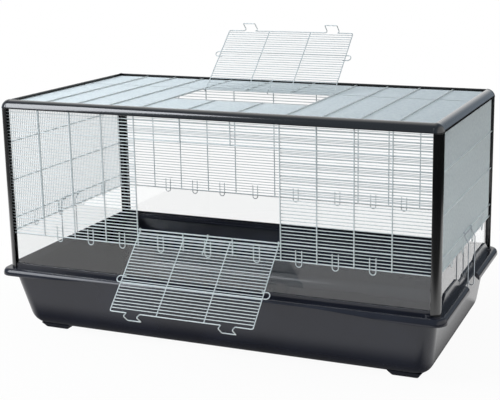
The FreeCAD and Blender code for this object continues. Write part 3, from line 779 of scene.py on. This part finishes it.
def bent_wire(line, size):
    """A round wire along a line."""
    bpy.ops.curve.primitive_bezier_curve_add()
    wire = bpy.context.object
    wire.data.splines.clear()
    spline = wire.data.splines.new("POLY")
    spline.points.add(len(line) - 1)
    for point, place in zip(spline.points, line):
        point.co = (*place, 1)
    wire.data.bevel_depth = size / 2
    wire.data.bevel_resolution = WIRE_BEVEL
    wire.data.use_fill_caps = True
    pick(wire)
    bpy.ops.object.convert(target="MESH")
    choose(wire, "VERT", lambda vertex: True)
    bpy.ops.mesh.remove_doubles(threshold=MERGE)
    put_down()
    face_outwards(wire)
    return wire


# %% Hooks that keep the windows in
PITCH = 6.9 * MM
THIN = 1.8 * MM
THICK = 2.6 * MM
WALL_ROWS = 40
BOTTOM_Z = RAIL_Z - WALL_ROWS * PITCH
HOOK_WIRE = 2 * MM
HOOK_HALF = 6.5 * MM
HOOK_RISE = 24 * MM
HOOK_DROP = 10 * MM
HOOK_BEND = HOOK_HALF - 0.02 * MM


def window_hooks(centres, across):
    """A U-shaped hook below a panel's bottom wire at each centre."""
    high = Vector((0, 0, BOTTOM_Z + HOOK_RISE))
    low = Vector((0, 0, BOTTOM_Z - HOOK_DROP))
    half = across * HOOK_HALF
    line = bent_line([high - half, low - half, low + half, high + half], [HOOK_BEND] * 2)
    hook = bent_wire(line, HOOK_WIRE)
    hooks = [copy_of(hook, Matrix.Translation(centre)) for centre in centres]
    bpy.data.objects.remove(hook)
    return hooks


# %% Rows and uprights of the long panels
PANEL_INSET = 11.5 * MM
LAYER = 1.755 * MM
SLOT_HOLD = 4 * MM
ROW_X = INNER_X + PANEL_INSET
ROW_Y = INNER_Y + PANEL_INSET
END_X = INNER_X + SLOT_HOLD
END_Y = INNER_Y + SLOT_HOLD
DOORWAY_HALF = 162 * MM
SIDE_BAY = 77 * MM
SIDE_COLUMNS = 4
MID_COLUMN = 56 * MM
SILL_ROW = 5
HEADER_ROW = 33
FRONT_HOOK_STEP = 1.63 * MM
COLUMN_LOW = BOTTOM_Z - THICK / 2
COLUMN_LONG = RAIL_Z + SLOT_HOLD - COLUMN_LOW
HOOK_MIDDLES = [(MID_COLUMN + DOORWAY_HALF) / 2]
HOOK_MIDDLES += [DOORWAY_HALF + SIDE_BAY * (bay + 0.5) for bay in range(SIDE_COLUMNS - 1)]
BESIDE_DOORWAY = DOORWAY_HALF - THICK / 2


def row_z(row):
    return BOTTOM_Z + row * PITCH


def rows_along(first, last, y, size, low=-END_X, high=END_X):
    """Wires along the cage, from one row to another."""
    return straight_wires("X", size, (low, y, row_z(first)), high - low, (0, 0, PITCH), last - first + 1)


def columns_up(first_x, step, count, y, low=COLUMN_LOW, long=COLUMN_LONG):
    """Thick uprights, on the outer face of the rows."""
    return straight_wires("Z", THICK, (first_x, y, low), long, (step, 0, 0), count)


# %% Front and back panels
def long_panel(side, has_doorway):
    """The front (-1) or back (1) panel."""
    y = side * ROW_Y
    outer = side * (ROW_Y + LAYER)
    wires = [rows_along(0, 0, y, THICK)]
    wires += [columns_up(end * DOORWAY_HALF, end * SIDE_BAY, SIDE_COLUMNS, outer) for end in (-1, 1)]
    if has_doorway:
        wires.append(rows_along(1, SILL_ROW - 1, y, THIN))
        wires.append(rows_along(SILL_ROW, SILL_ROW, y, THICK))
        wires.append(rows_along(SILL_ROW + 1, HEADER_ROW - 1, y, THIN, high=-BESIDE_DOORWAY))
        wires.append(rows_along(SILL_ROW + 1, HEADER_ROW - 1, y, THIN, low=BESIDE_DOORWAY))
        wires.append(rows_along(HEADER_ROW, HEADER_ROW, y, THICK))
        wires.append(rows_along(HEADER_ROW + 1, WALL_ROWS - 1, y, THIN))
        sill_long = row_z(SILL_ROW) + THICK / 2 - COLUMN_LOW
        header_low = row_z(HEADER_ROW) - THICK / 2
        header_long = RAIL_Z + SLOT_HOLD - header_low
        wires.append(columns_up(-MID_COLUMN, 2 * MID_COLUMN, 2, outer, long=sill_long))
        wires.append(columns_up(-MID_COLUMN, 2 * MID_COLUMN, 2, outer, header_low, header_long))
    else:
        wires.append(rows_along(1, WALL_ROWS - 1, y, THIN))
        wires.append(columns_up(-MID_COLUMN, 2 * MID_COLUMN, 2, outer))
    places = [-x for x in HOOK_MIDDLES] + [0] + HOOK_MIDDLES
    hook_y = side * (ROW_Y + FRONT_HOOK_STEP)
    wires += window_hooks([Vector((x, hook_y, 0)) for x in places], ALONG["X"])
    return joined(wires)


for name, side in (("front", -1), ("back", 1)):
    panel = long_panel(side, name == "front")
    hand_over(panel, "wires_" + name, "panel_" + name, "cage", plated_wire)

# %% Side panels
DEPTH_ROWS = 68
SIDE_LEVELS = [0, 27 * MM, 112.5 * MM, 198 * MM]
SIDE_HOOK_STEP = 3.73 * MM
SIDE_HOOKS = (-146 * MM, -47 * MM, 47 * MM, 146 * MM)


def side_panel(side):
    """The left (-1) or right (1) panel: thin uprights, with thick wires across their outer face."""
    x = side * ROW_X
    first = (x, PITCH - INNER_Y, COLUMN_LOW)
    wires = [straight_wires("Z", THIN, first, COLUMN_LONG, (0, PITCH, 0), DEPTH_ROWS - 1)]
    for level in SIDE_LEVELS:
        start = (side * (ROW_X + LAYER), -END_Y, BOTTOM_Z + level)
        wires.append(straight_wires("Y", THICK, start, 2 * END_Y))
    hook_x = side * (ROW_X + SIDE_HOOK_STEP)
    wires += window_hooks([Vector((hook_x, y, 0)) for y in SIDE_HOOKS], ALONG["Y"])
    return joined(wires)


for name, side in (("left", -1), ("right", 1)):
    hand_over(side_panel(side), "wires_" + name, "panel_" + name, "cage", plated_wire)

# %% Top panel
TOP_Z = RAIL_Z + PANEL_INSET
OPENING_FRONT = 22
OPENING_BACK = 45


def row_y(row):
    return (row - DEPTH_ROWS / 2) * PITCH


def top_rows(first, last, size, low=-END_X, high=END_X):
    start = (low, row_y(first), TOP_Z)
    return straight_wires("X", size, start, high - low, (0, PITCH, 0), last - first + 1)


def cross_wires(first_x, step, count, low=-END_Y, high=END_Y):
    """Thick wires from front to back, on top of the rows."""
    return straight_wires("Y", THICK, (first_x, low, TOP_Z + LAYER), high - low, (step, 0, 0), count)


top_wires = [
    top_rows(1, OPENING_FRONT, THIN),
    top_rows(OPENING_FRONT + 1, OPENING_BACK - 1, THIN, high=-BESIDE_DOORWAY),
    top_rows(OPENING_FRONT + 1, OPENING_BACK - 1, THIN, low=BESIDE_DOORWAY),
    top_rows(OPENING_BACK, OPENING_BACK, THICK),
    top_rows(OPENING_BACK + 2, DEPTH_ROWS - 1, THIN),
    cross_wires(-MID_COLUMN, 2 * MID_COLUMN, 2, high=row_y(OPENING_FRONT) + THIN / 2),
    cross_wires(-MID_COLUMN, 2 * MID_COLUMN, 2, low=row_y(OPENING_BACK) - THICK / 2),
]
top_wires += [cross_wires(end * DOORWAY_HALF, end * SIDE_BAY, SIDE_COLUMNS) for end in (-1, 1)]
hand_over(joined(top_wires), "wires_top", "panel_top", "cage", plated_wire)

# %% [markdown]
# ## Doors
#
# A door is one bent border wire that curls round the panel's hinge wire at both feet and rises into two
# finger tabs, with thin wires across it, two wires up its thirds, a short hook in the middle and a sprung
# latch wire whose ears catch the panel's uprights. It is drawn shut and upright, with the hinge line
# through the origin, and then turned open about its joint, as the photograph shows it.

# %% Border wire of a door
DOOR_WIRE = 2.2 * MM
DOOR_HALF = 157 * MM
DOOR_LONG = 189 * MM
DOOR_CORNER = 3.5 * MM
CURL = 2.65 * MM
CURL_START = 90
CURL_TURN = 270
TAB_X = 104 * MM
TAB_HALF = 15 * MM
TAB_LOW = Vector((0, 7.6, 200)) * MM
TAB_HIGH = Vector((0, -15.5, 198)) * MM
TAB_BEND = 2 * MM
CURL_STEPS = 18


def curl(x):
    """The open curl round the hinge wire, from its tip to the foot of an upright wire."""
    line = []
    for step in range(CURL_STEPS):
        angle = math.radians(CURL_START - CURL_TURN * step / CURL_STEPS)
        line.append(Vector((x, CURL * math.cos(angle), CURL * math.sin(angle))))
    return line


def border_line(tab_side):
    """The border wire: up one side, over both tabs, and down the other."""
    plane = Vector((0, -CURL, 0))
    low = plane + Vector((0, tab_side * TAB_LOW.y, TAB_LOW.z))
    high = plane + Vector((0, tab_side * TAB_HIGH.y, TAB_HIGH.z))
    edge = plane + Vector((0, 0, DOOR_LONG))
    left = Vector((-DOOR_HALF, 0, 0))
    points = [plane + left, edge + left]
    for centre in (-TAB_X, TAB_X):
        start = Vector((centre - TAB_HALF, 0, 0))
        end = Vector((centre + TAB_HALF, 0, 0))
        points += [start + edge, start + low, start + high, end + high, end + low, end + edge]
    points += [edge - left, plane - left]
    bends = [DOOR_CORNER] + [TAB_BEND] * (len(points) - 4) + [DOOR_CORNER]
    return curl(-DOOR_HALF) + bent_line(points, bends) + list(reversed(curl(DOOR_HALF)))


# %% A whole door
FIRST_CROSS = 9 * MM
CROSS_COUNT = 26
CROSS_Y = -0.92 * MM
THIRD_X = 52.3 * MM
HOOK_REACH = 41 * MM
LATCH_Y = -4.7 * MM
LATCH_UP = 122.3 * MM
LATCH_BACK = 107.8 * MM
LATCH_EAR = 169.5 * MM
LATCH_TAIL = 151 * MM
LATCH_BEND = 7.1 * MM


def door(tab_side):
    """A shut, upright door; tab_side turns its tabs outwards (1) or inwards (-1)."""
    latch = []
    for side in (-1, 1):
        arm = [(LATCH_TAIL, LATCH_BACK), (LATCH_EAR, LATCH_BACK), (LATCH_EAR, LATCH_UP)]
        points = [Vector((side * x, LATCH_Y, z)) for x, z in arm]
        latch += points if side < 0 else list(reversed(points))
    hook = curl(0) + [Vector((0, -CURL, 0)), Vector((0, -CURL, HOOK_REACH))]
    cross = (-DOOR_HALF, CROSS_Y, FIRST_CROSS)
    third = (-THIRD_X, -CURL, FIRST_CROSS - THIN / 2)
    third_long = DOOR_LONG - FIRST_CROSS + THIN / 2
    wires = [
        bent_wire(border_line(tab_side), DOOR_WIRE),
        bent_wire(hook, DOOR_WIRE),
        bent_wire(bent_line(latch, [LATCH_BEND] * 4), DOOR_WIRE),
        straight_wires("X", THIN, cross, 2 * DOOR_HALF, (0, 0, PITCH), CROSS_COUNT),
        straight_wires("Z", DOOR_WIRE, third, third_long, (2 * THIRD_X, 0, 0), 2),
    ]
    return joined(wires)


# %% Front door, dropped open, and top door, leaning back
FRONT_OPEN = math.radians(134.4)
TOP_OPEN = math.radians(137.9)
front_move = Matrix.Translation(HINGES["front_door_hinge"]) @ Matrix.Rotation(FRONT_OPEN, 4, "X")
front_door = settle(door(1), front_move)
hand_over(front_door, "wires_front_door", "front_door", "front_door", plated_wire)

lying_shut = LAID @ Matrix.Rotation(math.radians(180), 4, "Z")
top_move = Matrix.Translation(HINGES["top_door_hinge"]) @ Matrix.Rotation(-TOP_OPEN, 4, "X") @ lying_shut
top_door = settle(door(-1), top_move)
hand_over(top_door, "wires_top_door", "top_door", "top_door", plated_wire)

# %% [markdown]
# ## Clips
#
# A clip at each end holds the upper cage to the tray. It is spring wire: two legs that curl round the side
# panel's second thick wire, step out past the rim's notch and end in hooks under the rim, with a bar
# between them.

# %% Clips at both ends
CLIP_WIRE = 2.2 * MM
CLIP_EYE = 2.7 * MM
CLIP_HALF = 31.05 * MM
CLIP_LEG = [(2.7, 0), (2.7, -5.4), (10.845, -20), (10.845, -129.5), (-0.155, -129.5), (-0.155, -120)]
CLIP_BENDS = [2 * MM, 4 * MM, 5.45 * MM, 5.45 * MM]
EYE_STEPS = 16
EYE_TURN = 265


def clip(side):
    """The left (-1) or right (1) clip."""
    hinge = HINGES["clip_left_hinge" if side < 0 else "clip_right_hinge"]
    eye = []
    for step in range(EYE_STEPS):
        angle = math.radians(EYE_TURN * (1 - step / EYE_STEPS))
        eye.append(Vector((side * CLIP_EYE * math.cos(angle), 0, CLIP_EYE * math.sin(angle))))
    points = [Vector((side * out, 0, up)) * MM for out, up in CLIP_LEG]
    leg = bent_wire(eye + bent_line(points, CLIP_BENDS), CLIP_WIRE)
    wires = [copy_of(leg, Matrix.Translation(hinge + Vector((0, end * CLIP_HALF, 0)))) for end in (-1, 1)]
    bpy.data.objects.remove(leg)
    bar_start = hinge + Vector((side * (CLIP_EYE + CLIP_WIRE / 2), -CLIP_HALF, 0))
    wires.append(straight_wires("Y", CLIP_WIRE, bar_start, 2 * CLIP_HALF))
    return joined(wires)


for name, side in (("left", -1), ("right", 1)):
    hand_over(clip(side), "wire_clip_" + name, "clip_" + name, "clip_" + name, clip_wire)

# %% [markdown]
# ## Floor and light
#
# The cage stands on a white sweep that keeps a soft part of its shadow. Floor and room are white to the
# camera and through the windows. Only in reflections do they carry painted shade: what shines sees a floor
# that goes dim under the cage, far away and off to the right, and a slightly blue, dim room that turns white
# only behind the cage to the left and far to the right. One tall soft lamp at the front left draws the band
# of light along the front rail and the rim.

# %% White floor, and the painted shade it shows only in reflections
FLOOR_SIZE = 30
FLOOR_WHITE = "#F2F2F2"
PURE_WHITE = "#FFFFFF"
REFLECTED_FLOOR_SHADE = 0.1
PAINTED_SHADE_FRONT_RIGHT = ((0.72, -0.69, 0), (0.95, 1.2))
PAINTED_SHADE_BACK_RIGHT = ((0.6, 0.8, 0), (1.3, 1.7))
FOOTPRINT = (1 / 0.53, 1 / 0.3, 1)
PAINTED_SHADOW_UNDER_CAGE = (0.86, 1.0)
FALL_OFF = (1.4, 2.1)
FAR_PAINTED_SHADE = 0.2
SMOOTH = {"interpolation_type": "SMOOTHSTEP"}

bpy.ops.mesh.primitive_plane_add(size=FLOOR_SIZE)
floor = bpy.context.object
floor.name = "floor"
floor_white, tree, matt, place = new_material("matt_white_sweep")
matt.inputs["Base Color"].default_value = linear(FLOOR_WHITE)
matt.inputs["Roughness"].default_value = 1.0
matt.inputs["Specular IOR Level"].default_value = 0.0
spot = place.outputs["Object"]
# Painted shade and painted shadow: in reflections only, the floor's glow is dimmed off to the right, under
# the cage and far away.
dim = 1.0
for way, reach in (PAINTED_SHADE_FRONT_RIGHT, PAINTED_SHADE_BACK_RIGHT):
    along = add_node(tree, "ShaderNodeVectorMath", [spot, way], operation="DOT_PRODUCT")
    fade = add_node(tree, "ShaderNodeMapRange", [along.outputs["Value"], *reach, 1.0, REFLECTED_FLOOR_SHADE], **SMOOTH)
    lower = add_node(tree, "ShaderNodeMath", [dim, fade.outputs["Result"]], operation="MINIMUM")
    dim = lower.outputs["Value"]
around = add_node(tree, "ShaderNodeVectorMath", [spot, FOOTPRINT], operation="MULTIPLY")
folded = add_node(tree, "ShaderNodeVectorMath", [around.outputs["Vector"]], operation="ABSOLUTE")
halves = add_node(tree, "ShaderNodeSeparateXYZ", [folded.outputs["Vector"]])
ring = add_node(tree, "ShaderNodeMath", [halves.outputs["X"], halves.outputs["Y"]], operation="MAXIMUM")
under = add_node(tree, "ShaderNodeMapRange", [ring.outputs["Value"], *PAINTED_SHADOW_UNDER_CAGE, REFLECTED_FLOOR_SHADE, 1.0], **SMOOTH)
near = add_node(tree, "ShaderNodeMath", [dim, under.outputs["Result"]], operation="MINIMUM")
away = add_node(tree, "ShaderNodeVectorMath", [spot], operation="LENGTH")
fall = add_node(tree, "ShaderNodeMapRange", [away.outputs["Value"], *FALL_OFF, 1.0, FAR_PAINTED_SHADE], **SMOOTH)
dim = add_node(tree, "ShaderNodeMath", [near.outputs["Value"], fall.outputs["Result"]], operation="MULTIPLY")
print("floor", FLOOR_SIZE, "m")

# %% Floor that glows white and keeps the shadow
GLOW_NEAR = 0.95
SHADOW_REACH = (0.6, 1.0)
rays = add_node(tree, "ShaderNodeLightPath")
# Mirrored rays see the floor's glow at its painted shade. The camera and the windows see it white.
levels = {"Factor": rays.outputs["Is Glossy Ray"], "A": 1.0, "B": dim.outputs["Value"]}
bright = add_node(tree, "ShaderNodeMix", levels)
glow = add_node(tree, "ShaderNodeEmission", [linear(PURE_WHITE), bright.outputs["Result"]])
seen = rays.outputs["Is Camera Ray"]
for kind in ("Is Glossy Ray", "Is Transmission Ray"):
    seen = add_node(tree, "ShaderNodeMath", [seen, rays.outputs[kind]], operation="MAXIMUM").outputs["Value"]
lit = add_node(tree, "ShaderNodeMapRange", [away.outputs["Value"], *SHADOW_REACH, GLOW_NEAR, 1.0], **SMOOTH)
glowing = add_node(tree, "ShaderNodeMath", [seen, lit.outputs["Result"]], operation="MULTIPLY")
shaders = [glowing.outputs["Value"], matt.outputs["BSDF"], glow.outputs["Emission"]]
mixed = add_node(tree, "ShaderNodeMixShader", shaders)
tree.links.new(mixed.outputs["Shader"], tree.nodes["Material Output"].inputs["Surface"])
floor.data.materials.append(floor_white)
print(floor_white.name)

# %% Room: white to the camera, and painted dim in reflections in front, overhead and at the back right
ROOM_LAMP = 0.5
ROOM_SHADE_IN_REFLECTIONS = "#8E99A5"
SIDE_LEAN = 0.35
DIM_TO_WHITE = (-0.25, 0.4)
WHITE_TO_RIGHT = (-0.22, 0.2)
WHITE_BESIDE = (0.35, 0.75)
room = bpy.data.worlds.new("white_room")
room.use_nodes = True
bpy.context.scene.world = room
tree = room.node_tree
way = add_node(tree, "ShaderNodeTexCoord")
split = add_node(tree, "ShaderNodeSeparateXYZ", [way.outputs["Generated"]])
leaning = [split.outputs["X"], SIDE_LEAN, split.outputs["Y"]]
behind = add_node(tree, "ShaderNodeMath", leaning, operation="MULTIPLY_ADD")
deep = add_node(tree, "ShaderNodeMapRange", [behind.outputs["Value"], *DIM_TO_WHITE, 0, 1], **SMOOTH)
leftward = add_node(tree, "ShaderNodeMapRange", [split.outputs["X"], *WHITE_TO_RIGHT, 1, 0], **SMOOTH)
beside = add_node(tree, "ShaderNodeMapRange", [split.outputs["X"], *WHITE_BESIDE, 0, 1], **SMOOTH)
rear = add_node(tree, "ShaderNodeMath", [deep.outputs["Result"], leftward.outputs["Result"]],
                operation="MINIMUM")
white = add_node(tree, "ShaderNodeMath", [rear.outputs["Value"], beside.outputs["Result"]],
                 operation="MAXIMUM")
# Painted reflection shade: what shines mirrors a dim, slightly blue room, white only behind to the left and
# far to the right.
shades = add_node(tree, "ShaderNodeValToRGB", [white.outputs["Value"]], [(0, ROOM_SHADE_IN_REFLECTIONS), (1, PURE_WHITE)])
mirrored = add_node(tree, "ShaderNodeBackground", [shades.outputs["Color"], 1.0])
rays = add_node(tree, "ShaderNodeLightPath")
kinds = [rays.outputs["Is Camera Ray"], rays.outputs["Is Transmission Ray"]]
clear_way = add_node(tree, "ShaderNodeMath", kinds, operation="MAXIMUM")
strength = add_node(tree, "ShaderNodeMapRange", [clear_way.outputs["Value"], 0, 1, ROOM_LAMP, 1.0])
straight = tree.nodes["Background"]
straight.inputs["Color"].default_value = linear(PURE_WHITE)
tree.links.new(strength.outputs["Result"], straight.inputs["Strength"])
shaders = [rays.outputs["Is Glossy Ray"], straight.outputs["Background"], mirrored.outputs["Background"]]
level = add_node(tree, "ShaderNodeMixShader", shaders)
tree.links.new(level.outputs["Shader"], tree.nodes["World Output"].inputs["Surface"])
bpy.context.scene.view_settings.view_transform = "Standard"
print("room", ROOM_SHADE_IN_REFLECTIONS, "to white")

# %% Tall soft lamp at the front left
LAMP_PLACE = Vector((-1.85, -1.7, 1.85))
LAMP_AIM = Vector((0, 0, 0.3))
LAMP_SIZE = (1.1, 2.2)
LAMP_WATTS = 52
LAMP_TINT = "#F4F7FC"
bpy.ops.object.light_add(type="AREA", location=LAMP_PLACE)
lamp = bpy.context.object
lamp.name = "soft_lamp"
lamp.data.shape = "RECTANGLE"
lamp.data.size, lamp.data.size_y = LAMP_SIZE
lamp.data.energy = LAMP_WATTS
lamp.data.color = linear(LAMP_TINT)[:3]
lamp.rotation_euler = (LAMP_AIM - LAMP_PLACE).to_track_quat("-Z", "Y").to_euler()
print("lamp", LAMP_WATTS, "W")
